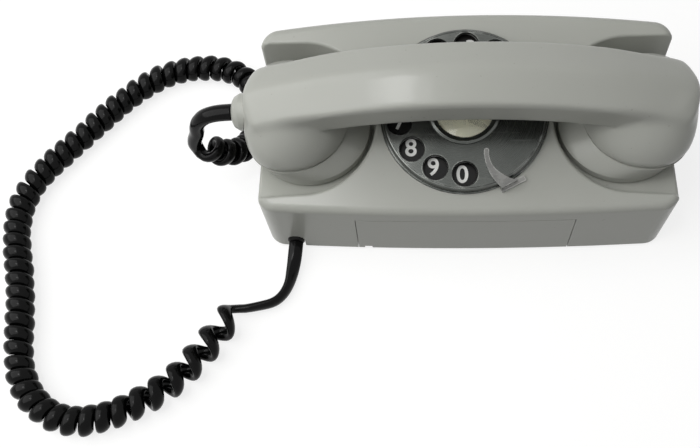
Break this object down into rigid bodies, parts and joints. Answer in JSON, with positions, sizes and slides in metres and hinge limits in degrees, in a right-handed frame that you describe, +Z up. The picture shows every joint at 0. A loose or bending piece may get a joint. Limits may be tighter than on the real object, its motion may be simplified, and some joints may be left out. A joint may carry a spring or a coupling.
{
  "type": "rotary telephone",
  "caption": "Compact oblong desk telephone with a sloping face, round finger-hole dial, handset lying crosswise in two open-ended wells and a long curly cord.",
  "frame": {"origin": "on the table under the middle of the base, below the centre of the dial", "axes": "+X to the caller's right along the handset, -Y to the front where the caller sits, +Z up"},
  "size_m": [0.362, 0.2315, 0.1055],
  "materials": {
    "housing_grey": "glossy moulded, lightly worn",
    "plated_steel": "zinc plated",
    "bright_steel": "bright",
    "black_rubber": "matte",
    "wheel_grey": "polished",
    "plate_black": "satin enamel",
    "card_cream": "paper card",
    "clear_cover": "clear",
    "stop_steel": "satin",
    "gear_brass": "machined",
    "inner_plastic": "matte",
    "coil_winding": "varnished wire",
    "cord_black": "glossy"
  },
  "bodies": {
    "base": {"base_housing": "housing_grey", "front_access_panel": "housing_grey", "base_plate": "plated_steel", "rubber_feet": "black_rubber", "base_plate_screws": "bright_steel", "handset_cord_grommet": "black_rubber", "line_inlet_grommet": "black_rubber", "dial_bezel_ring": "plate_black", "number_plate": "plate_black", "finger_stop": "stop_steel", "dial_frame": "plated_steel", "dial_frame_screws": "bright_steel", "dial_bridge": "plated_steel", "mainspring_barrel": "plated_steel", "mainspring": "bright_steel", "governor_cup": "gear_brass", "governor_bearing": "plated_steel", "pulse_contact_stack": "inner_plastic", "pulse_contact_springs": "gear_brass", "hook_lever_brackets": "plated_steel", "hookswitch_contacts": "inner_plastic", "network_block": "inner_plastic", "terminal_screws": "bright_steel", "ringer_gongs": "gear_brass", "gong_posts": "plated_steel", "ringer_frame": "plated_steel", "ringer_coil": "coil_winding", "clapper_pivot": "plated_steel", "cord_handset_tail": "cord_black", "cord_curls": "cord_black", "cord_base_tail": "cord_black"},
    "dial": {"finger_wheel": "wheel_grey", "dial_card": "card_cream", "card_cover": "clear_cover", "card_ring": "wheel_grey", "dial_main_shaft": "bright_steel", "main_gear": "gear_brass", "pulse_cam": "gear_brass"},
    "train_arbor": {"intermediate_gear": "gear_brass"},
    "governor": {"governor_worm_shaft": "bright_steel", "governor_weights": "gear_brass"},
    "left_plunger": {"hook_plunger_left": "housing_grey"},
    "right_plunger": {"hook_plunger_right": "housing_grey"},
    "hook": {"hook_lever": "plated_steel"},
    "clapper": {"ringer_clapper": "bright_steel"},
    "handset": {"handset_body": "housing_grey", "receiver_cap": "housing_grey", "transmitter_cap": "housing_grey", "receiver_capsule": "inner_plastic", "transmitter_capsule": "inner_plastic", "handset_cord_gland": "housing_grey"}
  },
  "joints": [
    {"name": "handset_lift", "type": "slide", "parent": "base", "child": "handset", "axis": [0, -0.1045, 0.9945], "range_m": [0, 0.12]},
    {"name": "left_plunger_rise", "type": "slide", "parent": "base", "child": "left_plunger", "axis": [0, -0.1045, 0.9945], "range_m": [0, 0.0051]},
    {"name": "right_plunger_rise", "type": "slide", "parent": "base", "child": "right_plunger", "axis": [0, -0.1045, 0.9945], "range_m": [0, 0.0051]},
    {"name": "hook_lever_swing", "type": "hinge", "parent": "base", "child": "hook", "pos_m": [0, 0.03, 0.016], "axis": [-1, 0, 0], "range_deg": [0, 9.2]},
    {"name": "dial_turn", "type": "hinge", "parent": "base", "child": "dial", "pos_m": [0, 0, 0.06], "axis": [0, 0.342, -0.9397], "range_deg": [0, 320], "stiffness_Nm_per_rad": 0.01},
    {"name": "train_arbor_turn", "type": "hinge", "parent": "base", "child": "train_arbor", "pos_m": [-0.02145, -0.01178, 0.03975], "axis": [0, 0.342, -0.9397], "range_deg": [-1921, 0]},
    {"name": "governor_spin", "type": "hinge", "parent": "base", "child": "governor", "pos_m": [-0.02145, -0.0202, 0.02924], "axis": [1, 0, 0], "range_deg": [0, 12801]},
    {"name": "clapper_swing", "type": "hinge", "parent": "base", "child": "clapper", "pos_m": [-0.0665, -0.00225, 0.0136], "axis": [0, 0, 1], "range_deg": [-2, 2]}
  ],
  "couplings": [
    {"joint": "left_plunger_rise", "follows": "handset_lift", "ratio": 0.041667},
    {"joint": "right_plunger_rise", "follows": "handset_lift", "ratio": 0.041667},
    {"joint": "hook_lever_swing", "follows": "handset_lift", "rad_per_m": 1.3167},
    {"joint": "train_arbor_turn", "follows": "dial_turn", "ratio": -6},
    {"joint": "governor_spin", "follows": "dial_turn", "ratio": 40}
  ]
}
